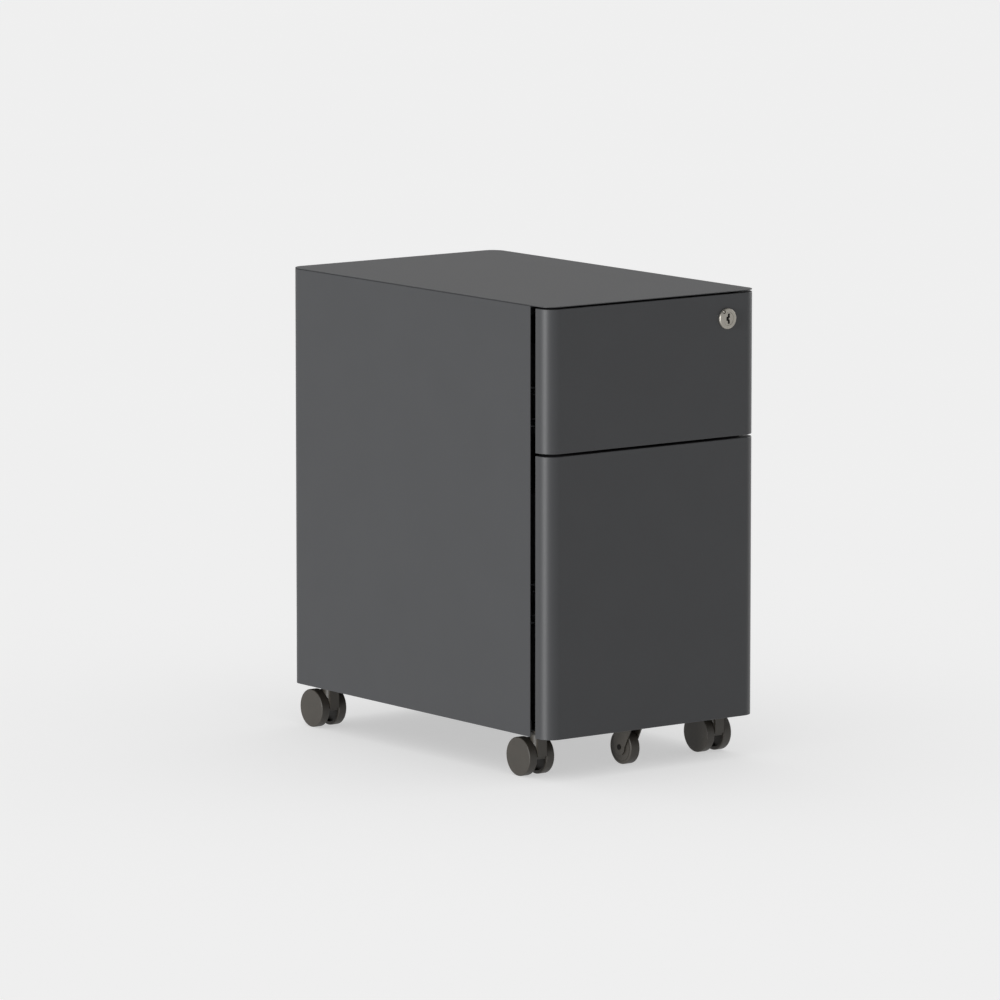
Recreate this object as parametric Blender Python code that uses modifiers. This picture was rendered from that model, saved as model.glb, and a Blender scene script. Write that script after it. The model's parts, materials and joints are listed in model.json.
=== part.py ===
"""Rolling pedestal cabinet: a slim steel case on casters, with a box drawer over a file drawer.

Metres, +Z up. The fronts face -Y, +X is to the right of someone facing them, and the origin is on
the floor under the middle of the case. Every physical piece is one object.
"""

from math import cos, pi, radians, sin

import bmesh
import bpy

# ---------------------------------------------------------------- driving dimensions
WIDTH = 0.3025
DEPTH = 0.5000
HEIGHT = 0.5432
CORNER = 0.0170  # outer radius of every upright corner
SHEET = 0.0012
TOUCH = 0.0003  # left between pieces that are fastened together or rest on each other

# Upright stack, from the floor to the top panel
BODY_BOTTOM = 0.0498
FRONT_BOTTOM = 0.0490
FILE_FRONT_HEIGHT = 0.3237
FRONT_GAP = 0.0031
BOX_FRONT_HEIGHT = 0.1644
TOP_GAP = 0.0022  # between the box drawer's front and the top panel
TOP_THICKNESS = HEIGHT - TOP_GAP - BOX_FRONT_HEIGHT - FRONT_GAP - FILE_FRONT_HEIGHT - FRONT_BOTTOM
SEAM = 0.0004  # reveal between the top panel and the case sides

# Front to back
FRONT_DEPTH = 0.0233  # a drawer front, from its face to the end of its side returns
CHANNEL = 0.0100  # open recess between a drawer front and the case side
FLANGE = 0.0120
POST_WIDTH = 0.0260
FRONT_POST_Y = -0.1930
REAR_POST_Y = 0.1650
RAIL_Y = -0.1960
RAIL_WIDTH = 0.0200
RAIL_HEIGHT = 0.0098

# Drawers, slides and the room beside them
DRAWER_HALF = 0.1310
DRAWER_SHEET = 0.0009
DRAWER_BACK = 0.2050
BOX_FLOOR = 0.3920
BOX_RIM = 0.4960
FILE_FLOOR = 0.0625
FILE_RIM = 0.3250
FILE_RAIL_SPACING = 0.3300  # hanging folders' hook-to-hook distance
SLIDE_HEIGHT = 0.0450
SLIDE_LENGTH = 0.4000
SLIDE_WALL = 0.0012
SLIDE_FRONT = -0.2050
BOX_SLIDE_Z = 0.4250
FILE_SLIDE_Z = 0.2000
SLIDE_OUTER = 0.1440  # outer face of the fixed member, from the middle of the case

# Lock, central locking bar
LOCK_X = 0.1056
LOCK_Z = 0.5122
BEZEL_RADIUS = 0.0120
BEZEL_PROUD = 0.0030
BARREL_RADIUS = 0.0090
PLUG_RADIUS = 0.0075
CRANK = 0.0080
CRANK_REST = radians(-45)
CRANK_PIN = 0.0017
STRIKE_Y = -0.1830
BOX_STRIKE_Z = 0.4800
FILE_STRIKE_Z = 0.3000
BAR_SHEET = 0.0015
BAR_FRONT = -0.1780
BAR_BACK = -0.1660
BAR_FOOT = 0.2500
BAR_TOP = 0.5150
ARM_FRONT = -0.2135

# Casters
CASTER_X = 0.12885
CASTER_Y = 0.2020
TRAIL = 0.0140
WHEEL_RADIUS = 0.0225
WHEEL_WIDTH = 0.0110
WHEEL_GAP = 0.0135
AXLE_RADIUS = 0.0030
PIN_RADIUS = 0.0040
PLATE_TOP = 0.0557
DRAWER_CASTER_Y = -0.2070
DRAWER_CASTER_TRAIL = 0.0090
DRAWER_WHEEL_RADIUS = 0.0200
DRAWER_WHEEL_WIDTH = 0.0130

# ---------------------------------------------------------------- worked out from them
HALF_WIDTH = WIDTH / 2
FRONT = -DEPTH / 2
BACK = DEPTH / 2
FRONT_BACK = FRONT + FRONT_DEPTH  # where a drawer front's returns end
SIDE_FRONT = FRONT_BACK + CHANNEL  # where the case sides begin
PANEL_BOTTOM = HEIGHT - TOP_THICKNESS
WRAP_TOP = PANEL_BOTTOM - SEAM
FILE_FRONT_TOP = FRONT_BOTTOM + FILE_FRONT_HEIGHT
BOX_FRONT_BOTTOM = FILE_FRONT_TOP + FRONT_GAP
BOX_FRONT_TOP = BOX_FRONT_BOTTOM + BOX_FRONT_HEIGHT
DRAWER_FRONT = FRONT_BACK + 0.0005
POST_INNER = SLIDE_OUTER + TOUCH
POST_OUTER = HALF_WIDTH - SHEET - 2 * TOUCH
PAN_BOTTOM = PLATE_TOP + TOUCH
CATCH_LIFT = 2 * CRANK * sin(-CRANK_REST)

ARC_STEPS = 6  # facets in a quarter turn of a sheet corner
ROUND_STEPS = 20  # facets round a wheel
WELD = 0.00001
PLAN = (0, 0, 0)  # outline's u, v along X, Y
FACING = (pi / 2, 0, 0)  # outline's u, v along X, Z
SIDEWAYS = (pi / 2, 0, pi / 2)  # outline's u, v along Y, Z
TURN_Y = (pi / 2, 0, 0)  # a turned piece's top towards -Y
TURN_X = (0, pi / 2, 0)  # a turned piece's top towards +X
TURN_MINUS_X = (0, -pi / 2, 0)


# ---------------------------------------------------------------- building helpers
def clear_scene():
    for obj in list(bpy.data.objects):
        bpy.data.objects.remove(obj, do_unlink=True)


def new_collection(name):
    made = bpy.data.collections.new(name)
    bpy.context.scene.collection.children.link(made)
    return made


def finish(name, colour, roughness, metallic):
    mat = bpy.data.materials.new(name)
    mat.use_nodes = True
    shader = mat.node_tree.nodes["Principled BSDF"]
    shader.inputs["Base Color"].default_value = (*colour, 1.0)
    shader.inputs["Roughness"].default_value = roughness
    shader.inputs["Metallic"].default_value = metallic
    return mat


def place(name, data, mat, at, turn, parent):
    """A new object: a piece when it has a material, and a cutter when it has none."""
    obj = bpy.data.objects.new(name, data)
    if mat:
        data.materials.append(mat)
        parts.objects.link(obj)
    else:
        cutters.objects.link(obj)
        obj.hide_render = True
        obj.display_type = "WIRE"
    obj.location = at
    obj.rotation_euler = turn
    obj.parent = parent
    return obj


def axis_point(name, at):
    """An empty that carries the pieces of an assembly."""
    empty = bpy.data.objects.new(name, None)
    parts.objects.link(empty)
    empty.location = at
    return empty


def mesh_of(name, bm):
    mesh = bpy.data.meshes.new(name)
    bm.to_mesh(mesh)
    bm.free()
    return mesh


def block(name, low, high, mat=None, parent=None):
    bm = bmesh.new()
    bmesh.ops.create_cube(bm, size=1)
    size = [b - a for a, b in zip(low, high)]
    middle = [(a + b) / 2 for a, b in zip(low, high)]
    bmesh.ops.scale(bm, vec=size, verts=bm.verts)
    return place(name, mesh_of(name, bm), mat, middle, (0, 0, 0), parent)


def shade_round(mesh):
    mesh.shade_smooth()
    mesh.set_sharp_from_angle(angle=radians(35))


def rod(name, radius, length, at, turn, mat=None, parent=None, steps=ROUND_STEPS):
    bm = bmesh.new()
    bmesh.ops.create_cone(
        bm, cap_ends=True, segments=steps, radius1=radius, radius2=radius, depth=length
    )
    mesh = mesh_of(name, bm)
    shade_round(mesh)
    return place(name, mesh, mat, at, turn, parent)


def plate(name, outline, thickness, at, turn, mat=None, parent=None):
    """A flat outline with a thickness, centred on its own plane."""
    curve = bpy.data.curves.new(name, "CURVE")
    curve.dimensions = "2D"
    curve.fill_mode = "BOTH"
    curve.extrude = thickness / 2
    spline = curve.splines.new("POLY")
    spline.points.add(len(outline) - 1)
    for point, (u, v) in zip(spline.points, outline):
        point.co = (u, v, 0, 1)
    spline.use_cyclic_u = True
    return place(name, curve, mat, at, turn, parent)


def solid_plate(name, outline, thickness, at, turn, mat=None, parent=None):
    """A plate as a mesh, so that it can be cut or joined."""
    drawn = plate(name + "_outline", outline, thickness, (0, 0, 0), (0, 0, 0))
    evaluated = drawn.evaluated_get(bpy.context.evaluated_depsgraph_get())
    bm = bmesh.new()
    bm.from_mesh(bpy.data.meshes.new_from_object(evaluated))
    bmesh.ops.remove_doubles(bm, verts=bm.verts, dist=WELD)
    bpy.data.objects.remove(drawn, do_unlink=True)
    return place(name, mesh_of(name, bm), mat, at, turn, parent)


def turned(name, profile, at, turn, mat=None, parent=None, steps=ROUND_STEPS):
    """A lathe-turned piece about its local Z, from (radius, height) points, top to bottom."""
    bm = bmesh.new()
    points = [bm.verts.new((radius, 0, height)) for radius, height in profile]
    for start, end in zip(points, points[1:]):
        bm.edges.new((start, end))
    if profile[0][0] > 0:
        bm.edges.new((points[-1], points[0]))
    obj = place(name, mesh_of(name, bm), mat, at, turn, parent)
    screw = obj.modifiers.new("turn", "SCREW")
    screw.steps = steps
    screw.render_steps = steps
    screw.use_merge_vertices = True
    screw.merge_threshold = WELD
    screw.use_smooth_shade = True
    return obj


def folded(name, bm, thickness, mat, parent=None):
    """Sheet metal: an open surface of outer faces, thickened inwards."""
    obj = place(name, mesh_of(name, bm), mat, (0, 0, 0), (0, 0, 0), parent)
    solidify = obj.modifiers.new("sheet", "SOLIDIFY")
    solidify.thickness = thickness
    solidify.offset = -1
    solidify.use_even_offset = True
    return obj


def combine(obj, other, operation):
    modifier = obj.modifiers.new(other.name, "BOOLEAN")
    modifier.operation = operation
    modifier.object = other


def finished_mesh(obj):
    """The mesh of a piece with its modifiers and place applied, for pieces that are repeated."""
    evaluated = obj.evaluated_get(bpy.context.evaluated_depsgraph_get())
    mesh = bpy.data.meshes.new_from_object(evaluated)
    mesh.transform(obj.matrix_world)
    shade_round(mesh)
    bpy.data.objects.remove(obj, do_unlink=True)
    return mesh


# ---------------------------------------------------------------- outlines
def arc(u, v, radius, start, end, steps=ARC_STEPS):
    angles = [radians(start + (end - start) * i / steps) for i in range(steps + 1)]
    return [(u + radius * cos(a), v + radius * sin(a)) for a in angles]


def mirrored(outline):
    return [(-u, v) for u, v in reversed(outline)]


def footprint():
    """The rounded rectangle that the top panel covers."""
    x, y = HALF_WIDTH - CORNER, BACK - CORNER
    outline = []
    for quarter, (sx, sy) in enumerate([(1, 1), (-1, 1), (-1, -1), (1, -1)]):
        start = quarter * 90
        outline += arc(sx * x, sy * y, CORNER, start, start + 90)
    return outline


def front_line():
    """A drawer front in plan, from the end of its left return to the end of its right one."""
    x = HALF_WIDTH - CORNER
    y = FRONT + CORNER
    left = [(-HALF_WIDTH, FRONT_BACK)] + arc(-x, y, CORNER, 180, 270)
    right = arc(x, y, CORNER, 270, 360) + [(HALF_WIDTH, FRONT_BACK)]
    return left + right


def wrap_line(inset, front):
    """The case wall in plan, from its right front edge round the back to its left one."""
    x, y, radius = HALF_WIDTH - inset, BACK - inset, CORNER - inset
    right = [(x, front)] + arc(x - radius, y - radius, radius, 0, 90)
    left = arc(radius - x, y - radius, radius, 90, 180) + [(-x, front)]
    return right + left


def channel(depth, height, wall):
    """A C section: its web is on the +u side, with its outer face at u = 0."""
    low, high = -height / 2, height / 2
    return [
        (-depth, low),
        (0, low),
        (0, high),
        (-depth, high),
        (-depth, high - wall),
        (-wall, high - wall),
        (-wall, low + wall),
        (-depth, low + wall),
    ]


def verts_along(bm, line, z):
    return [bm.verts.new((x, y, z)) for x, y in line]


def strip(bm, lower, upper):
    for i in range(len(lower) - 1):
        bm.faces.new((lower[i], lower[i + 1], upper[i + 1], upper[i]))


# ---------------------------------------------------------------- case
def case_wrap():
    """One folded sheet: left side, back and right side, with a flange round the top."""
    bm = bmesh.new()
    bottom = verts_along(bm, wrap_line(0, SIDE_FRONT), BODY_BOTTOM)
    top = verts_along(bm, wrap_line(0, SIDE_FRONT), WRAP_TOP)
    strip(bm, bottom, top)
    lip = verts_along(bm, wrap_line(FLANGE, SIDE_FRONT), WRAP_TOP)
    strip(bm, top, lip)
    folded("case_wrap", bm, SHEET, powder_coat)


def top_panel():
    middle = (0, 0, HEIGHT - TOP_THICKNESS / 2)
    plate("top_panel", footprint(), TOP_THICKNESS, middle, PLAN, powder_coat)


def base_pan():
    """The floor of the case, notched for the drawer's caster, with flanges up its sides and back."""
    pan_front = SIDE_FRONT + TOUCH
    notch_x = 0.0300
    notch_y = -0.1720
    wall = wrap_line(SHEET + TOUCH, pan_front)
    notch = [(-notch_x, pan_front), (-notch_x, notch_y), (notch_x, notch_y), (notch_x, pan_front)]
    bm = bmesh.new()
    wall_foot = verts_along(bm, wall, PAN_BOTTOM)
    wall_rim = verts_along(bm, wall, PAN_BOTTOM + FLANGE)
    strip(bm, wall_foot, wall_rim)
    notch_foot = verts_along(bm, notch, PAN_BOTTOM)
    bm.faces.new(reversed(wall_foot + notch_foot))
    folded("base_pan", bm, SHEET, galvanised)


def posts():
    """Four upright channels on the case sides, which the slides are fixed to."""
    low, high = PAN_BOTTOM + FLANGE + 0.001, WRAP_TOP - SHEET - 0.001
    section = mirrored(channel(POST_OUTER - POST_INNER, POST_WIDTH, SHEET))
    for end, y in (("front", FRONT_POST_Y), ("rear", REAR_POST_Y)):
        for side, sign in (("left", -1), ("right", 1)):
            outline = section if sign > 0 else mirrored(section)
            middle = (sign * POST_INNER, y, (low + high) / 2)
            name = f"{end}_post_{side}"
            plate(name, outline, high - low, middle, PLAN, galvanised)


def top_front_rail():
    """A shallow channel across the front of the case, under the top panel."""
    section = channel(RAIL_HEIGHT, RAIL_WIDTH, SHEET)
    upright = [(-v, u) for u, v in section]
    middle = (0, RAIL_Y, WRAP_TOP - SHEET - TOUCH)
    plate("top_front_rail", upright, 2 * SLIDE_OUTER, middle, SIDEWAYS, galvanised)


# ---------------------------------------------------------------- slides
def slide_set(drawer, z, parent):
    """Two ball-bearing slides: a fixed member, a travelling one and the drawer's own."""
    race = 0.0040  # the height each member gives up to the balls
    outer = channel(0.0112, SLIDE_HEIGHT, SLIDE_WALL)
    travelling = channel(0.0072, SLIDE_HEIGHT - 2 * race, SLIDE_WALL)
    inner = mirrored(channel(0.0069, SLIDE_HEIGHT - 4 * race, SLIDE_WALL))
    middle_y = SLIDE_FRONT + SLIDE_LENGTH / 2
    members = (
        ("outer", outer, SLIDE_OUTER, SLIDE_LENGTH, None),
        ("intermediate", travelling, SLIDE_OUTER - 0.0028, SLIDE_LENGTH - 0.020, None),
        ("inner", inner, DRAWER_HALF + 0.0006, SLIDE_LENGTH, parent),
    )
    for side, sign in (("left", -1), ("right", 1)):
        for member, section, x, length, carrier in members:
            outline = section if sign > 0 else mirrored(section)
            name = f"{drawer}_slide_{member}_{side}"
            plate(name, outline, length, (sign * x, middle_y, z), FACING, zinc_steel, carrier)


# ---------------------------------------------------------------- drawers
def drawer_front(name, low, high, parent):
    """A tray of folded sheet, open at the back: face, rounded corners, returns and flanges."""
    line = front_line()
    bm = bmesh.new()
    bottom = verts_along(bm, line, low)
    top = verts_along(bm, line, high)
    strip(bm, bottom, top)
    bm.faces.new(top)
    bm.faces.new(reversed(bottom))
    return folded(name, bm, SHEET, powder_coat, parent)


def drawer_body(name, low, high, parent):
    bm = bmesh.new()
    bmesh.ops.create_cube(bm, size=1)
    size = (2 * DRAWER_HALF, DRAWER_BACK - DRAWER_FRONT, high - low)
    middle = (0, (DRAWER_BACK + DRAWER_FRONT) / 2, (low + high) / 2)
    bmesh.ops.scale(bm, vec=size, verts=bm.verts)
    bmesh.ops.translate(bm, vec=middle, verts=bm.verts)
    lid = max(bm.faces, key=lambda face: face.calc_center_median().z)
    bmesh.ops.delete(bm, geom=[lid], context="FACES_ONLY")
    folded(name, bm, DRAWER_SHEET, powder_coat, parent)


def strike(name, z, parent):
    """A headed pin on the drawer's right side, which the lock bar's catch holds."""
    length = 0.0082
    profile = [
        (0, length),
        (0.0017, length),
        (0.0020, length - 0.0003),
        (0.0020, 0.0010),
        (0.0040, 0.0010),
        (0.0040, 0),
        (0, 0),
    ]
    at = (DRAWER_HALF + TOUCH, STRIKE_Y, z)
    turned(name, profile, at, TURN_X, zinc_steel, parent, steps=12)


def hanging_rails(parent):
    """Two bars across the file drawer that hang on its sides and carry the folders."""
    bar_half = DRAWER_HALF - DRAWER_SHEET - TOUCH
    hook = DRAWER_HALF + TOUCH + 0.0012
    over = FILE_RIM + TOUCH
    half_outline = [
        (0, FILE_RIM - 0.0160),
        (bar_half, FILE_RIM - 0.0160),
        (bar_half, over),
        (DRAWER_HALF + TOUCH, over),
        (DRAWER_HALF + TOUCH, FILE_RIM - 0.0080),
        (hook, FILE_RIM - 0.0080),
        (hook, over + 0.0012),
        (bar_half - 0.0040, over + 0.0012),
        (bar_half - 0.0080, FILE_RIM - 0.0040),
        (0, FILE_RIM - 0.0040),
    ]
    outline = half_outline + mirrored(half_outline)[1:-1]
    first_y = -0.1500
    for name, y in (("front", first_y), ("rear", first_y + FILE_RAIL_SPACING)):
        plate(f"hanging_rail_{name}", outline, 0.0025, (0, y, 0), FACING, zinc_steel, parent)


# ---------------------------------------------------------------- lock
def lock_housing(parent):
    """Round bezel and barrel in one casting, through the box drawer's front."""
    barrel_length = 0.0215
    bore = PLUG_RADIUS + TOUCH
    profile = [
        (bore, BEZEL_PROUD - 0.0004),
        (bore + 0.0004, BEZEL_PROUD),
        (BEZEL_RADIUS - 0.0014, BEZEL_PROUD),
        (BEZEL_RADIUS - 0.0004, BEZEL_PROUD - 0.0005),
        (BEZEL_RADIUS, BEZEL_PROUD - 0.0015),
        (BEZEL_RADIUS, TOUCH),
        (BARREL_RADIUS, TOUCH),
        (BARREL_RADIUS, -barrel_length),
        (bore, -barrel_length),
    ]
    at = (LOCK_X, FRONT, LOCK_Z)
    turned("lock_housing", profile, at, TURN_Y, nickel, parent, steps=28)


def lock_hole(front):
    hole_radius = BARREL_RADIUS + TOUCH
    at = (LOCK_X, FRONT, LOCK_Z)
    combine(front, rod("lock_hole", hole_radius, 0.006, at, TURN_Y, steps=28), "DIFFERENCE")


def lock_nut(parent):
    """The ring nut that clamps the barrel behind the sheet of the drawer front."""
    across_corners = 0.0125
    outline = arc(0, 0, across_corners, 0, 300, 5)
    thickness = 0.0035
    y = FRONT + SHEET + TOUCH + thickness / 2
    nut = solid_plate("lock_nut", outline, thickness, (LOCK_X, y, LOCK_Z), FACING, nickel, parent)
    bore = rod("lock_nut_bore", BARREL_RADIUS + TOUCH, 0.01, (LOCK_X, y, LOCK_Z), TURN_Y)
    combine(nut, bore, "DIFFERENCE")


def lock_plug(parent):
    """The part that turns with the key, with its slot, and a square tail for the cam."""
    top = BEZEL_PROUD - 0.0002
    tail = -0.0237
    profile = [
        (0, top),
        (PLUG_RADIUS - 0.0004, top),
        (PLUG_RADIUS, top - 0.0004),
        (PLUG_RADIUS, tail),
        (0, tail),
    ]
    at = (LOCK_X, FRONT, LOCK_Z)
    plug = turned("lock_plug", profile, at, TURN_Y, nickel, parent, steps=24)
    slot_half = 0.0042
    low = (LOCK_X - 0.0008, FRONT - 0.005, LOCK_Z - slot_half)
    high = (LOCK_X + 0.0008, FRONT + 0.008, LOCK_Z + slot_half)
    combine(plug, block("key_slot", low, high), "DIFFERENCE")


def lock_cam(parent):
    """A crank on the plug's tail, with a pin that lifts the lock bar's arm."""
    thickness = 0.0020
    y = FRONT + 0.0237 + TOUCH + thickness / 2
    pin_u, pin_v = CRANK * cos(CRANK_REST), CRANK * sin(CRANK_REST)
    outline = arc(0, 0, 0.0070, 45, 225) + arc(pin_u, pin_v, 0.0040, 225, 405)
    cam = solid_plate("lock_cam", outline, thickness, (LOCK_X, y, LOCK_Z), FACING, zinc_steel, parent)
    pin_length = 0.0140
    pin_y = y + pin_length / 2 - thickness / 4
    pin_at = (LOCK_X + pin_u, pin_y, LOCK_Z + pin_v)
    pin = rod("cam_pin", CRANK_PIN, pin_length, pin_at, TURN_Y, steps=12)
    combine(cam, pin, "UNION")


def lock_bar_arm(parent):
    """An angle on the bar's top: its slotted front leg takes the cam's pin."""
    low, high = LOCK_Z - 0.0115, LOCK_Z + 0.0045
    tip = LOCK_X + 0.0002
    outline = [
        (tip, ARM_FRONT),
        (SLIDE_OUTER, ARM_FRONT),
        (SLIDE_OUTER, BAR_BACK),
        (SLIDE_OUTER - BAR_SHEET, BAR_BACK),
        (SLIDE_OUTER - BAR_SHEET, ARM_FRONT + BAR_SHEET),
        (tip, ARM_FRONT + BAR_SHEET),
    ]
    middle = (0, 0, (low + high) / 2)
    arm = solid_plate("lock_bar_arm", outline, high - low, middle, PLAN, zinc_steel, parent)
    pin_x = LOCK_X + CRANK * cos(CRANK_REST)
    pin_z = LOCK_Z + CRANK * sin(CRANK_REST)
    room = CRANK_PIN + 0.00045
    slot_low = (pin_x - room, ARM_FRONT - 0.002, pin_z - room)
    slot_high = (LOCK_X + CRANK + room, ARM_FRONT + 0.004, pin_z + room)
    combine(arm, block("pin_slot", slot_low, slot_high), "DIFFERENCE")


def lock_bar(parent):
    """A flat bar up the right side, which rises to lock both drawers."""
    low = (POST_INNER, BAR_FRONT, BAR_FOOT)
    high = (POST_INNER + BAR_SHEET, BAR_BACK, BAR_TOP)
    block("lock_bar", low, high, zinc_steel, parent)


def lock_catch(name, strike_z, parent):
    """A U of steel on the bar, open upwards, that rises round the drawer's strike."""
    drop = 0.0035  # rest gap between the strike's middle and the catch's fingertips
    tip = strike_z - drop
    base = strike_z - 0.0180
    floor = base + 0.0035
    room = 0.0045  # half of the space between the fingers
    front_finger, back_finger = -0.1900, BAR_FRONT + 0.0100
    outline = [
        (front_finger, base),
        (back_finger, base),
        (back_finger, tip),
        (STRIKE_Y + room + 0.0005, tip),
        (STRIKE_Y + room + 0.0005, floor),
        (STRIKE_Y - room + 0.0005, floor),
        (STRIKE_Y - room + 0.0005, tip),
        (front_finger, tip),
    ]
    width = 0.0100
    plate(name, outline, width, (SLIDE_OUTER - width / 2, 0, 0), SIDEWAYS, zinc_steel, parent)


# ---------------------------------------------------------------- casters
def caster_plate_mesh():
    """The fixed top plate with its pivot pin, about the swivel axis."""
    half, thickness = 0.0165, 0.0020
    low = (-half, -half, PLATE_TOP - thickness)
    top_plate = block("caster_plate", low, (half, half, PLATE_TOP), moulded_grey)
    pin_foot = 0.0300
    pin_top = PLATE_TOP - thickness / 2
    pin_middle = (0, 0, (pin_foot + pin_top) / 2)
    pin = rod("caster_pin", PIN_RADIUS, pin_top - pin_foot, pin_middle, (0, 0, 0), steps=16)
    combine(top_plate, pin, "UNION")
    return finished_mesh(top_plate)


def caster_hood_mesh():
    """The swivelling body between the wheels: a round neck, scooped to clear them, and a boss."""
    body_half = WHEEL_GAP / 2 - 0.00035
    neck_radius = 0.00875
    neck_foot, neck_top = 0.0300, 0.0532
    boss = 0.0062
    outline = [(-neck_radius, 0.0235)]
    outline += arc(TRAIL, WHEEL_RADIUS, boss, 190, 340, 5)
    outline += arc(TRAIL, WHEEL_RADIUS, 0.0205, 20, 85, 5)
    outline += [(-neck_radius, 0.0440)]
    hood = solid_plate("caster_hood", outline, 2 * body_half, (0, 0, 0), SIDEWAYS, moulded_grey)
    neck_middle = (0, 0, (neck_foot + neck_top) / 2)
    neck_length = neck_top - neck_foot
    combine(hood, rod("neck", neck_radius, neck_length, neck_middle, (0, 0, 0)), "UNION")
    scoop_length = 0.0200
    for side in (-1, 1):
        at = (side * (WHEEL_GAP / 2 - 0.0002 + scoop_length / 2), TRAIL, WHEEL_RADIUS)
        scoop = rod("wheel_scoop", WHEEL_RADIUS + 0.0008, scoop_length, at, TURN_X, steps=28)
        combine(hood, scoop, "DIFFERENCE")
    bore_foot = 0.0285
    bore_middle = (0, 0, (bore_foot + neck_top) / 2 + 0.001)
    bore_length = neck_top - bore_foot + 0.002
    pin_bore = rod("pin_bore", PIN_RADIUS + TOUCH, bore_length, bore_middle, (0, 0, 0), steps=16)
    combine(hood, pin_bore, "DIFFERENCE")
    at_axle = (0, TRAIL, WHEEL_RADIUS)
    axle_bore = rod("axle_bore", AXLE_RADIUS + TOUCH, 0.03, at_axle, TURN_X, steps=12)
    combine(hood, axle_bore, "DIFFERENCE")
    return finished_mesh(hood)


def wheel_profile(radius, width, wall, hub, blind_end):
    """Half a wheel's section: a plain outer face at the top, and a hollow inner side."""
    half = width / 2
    edge = 0.0012
    bore = AXLE_RADIUS + TOUCH
    return [
        (0, half),
        (radius - edge, half),
        (radius, half - edge),
        (radius, edge - half),
        (radius - edge, -half),
        (radius - wall, -half),
        (radius - wall, 0.0005),
        (hub, 0.0005),
        (hub, -half),
        (bore, -half),
        (bore, blind_end),
        (0, blind_end),
    ]


def main_casters():
    plate_mesh = caster_plate_mesh()
    hood_mesh = caster_hood_mesh()
    profile = wheel_profile(WHEEL_RADIUS, WHEEL_WIDTH, 0.0040, 0.0062, 0.0030)
    wheel_x = (WHEEL_GAP + WHEEL_WIDTH) / 2
    axle_half = wheel_x + 0.0027
    for end, y in (("front", -CASTER_Y), ("rear", CASTER_Y)):
        for side, sign in (("left", -1), ("right", 1)):
            name = f"{end}_{side}_caster"
            pivot = axis_point(name, (sign * CASTER_X, y, 0))
            for suffix, mesh in (("plate", plate_mesh), ("hood", hood_mesh)):
                piece = bpy.data.objects.new(f"{name}_{suffix}", mesh)
                parts.objects.link(piece)
                piece.parent = pivot
            at_axle = (0, TRAIL, WHEEL_RADIUS)
            rod(f"{name}_axle", AXLE_RADIUS, 2 * axle_half, at_axle, TURN_X, zinc_steel, pivot, 12)
            left_at = (-wheel_x, TRAIL, WHEEL_RADIUS)
            right_at = (wheel_x, TRAIL, WHEEL_RADIUS)
            turned(f"{name}_wheel_left", profile, left_at, TURN_MINUS_X, moulded_grey, pivot)
            turned(f"{name}_wheel_right", profile, right_at, TURN_X, moulded_grey, pivot)


def drawer_caster_bracket(parent):
    """A U of steel under the file drawer, with the stud that the caster's fork turns on."""
    low, high = 0.0470, FILE_FLOOR - TOUCH
    half, wall = 0.0230, 0.0020
    front_y, back_y = -0.2225, -0.1820
    section = [
        (-half, high),
        (-half, low),
        (half, low),
        (half, high),
        (half - wall, high),
        (half - wall, low + wall),
        (wall - half, low + wall),
        (wall - half, high),
    ]
    middle = (0, (front_y + back_y) / 2, 0)
    name = "drawer_caster_bracket"
    length = back_y - front_y
    bracket = solid_plate(name, section, length, middle, FACING, zinc_steel, parent)
    stud_profile = [
        (0, low + wall / 2),
        (AXLE_RADIUS, low + wall / 2),
        (AXLE_RADIUS, 0.0437),
        (0.0050, 0.0437),
        (0.0050, 0.0426),
        (0, 0.0426),
    ]
    stud = turned("fork_stud", stud_profile, (0, DRAWER_CASTER_Y, 0), (0, 0, 0), steps=16)
    combine(bracket, stud, "UNION")


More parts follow.
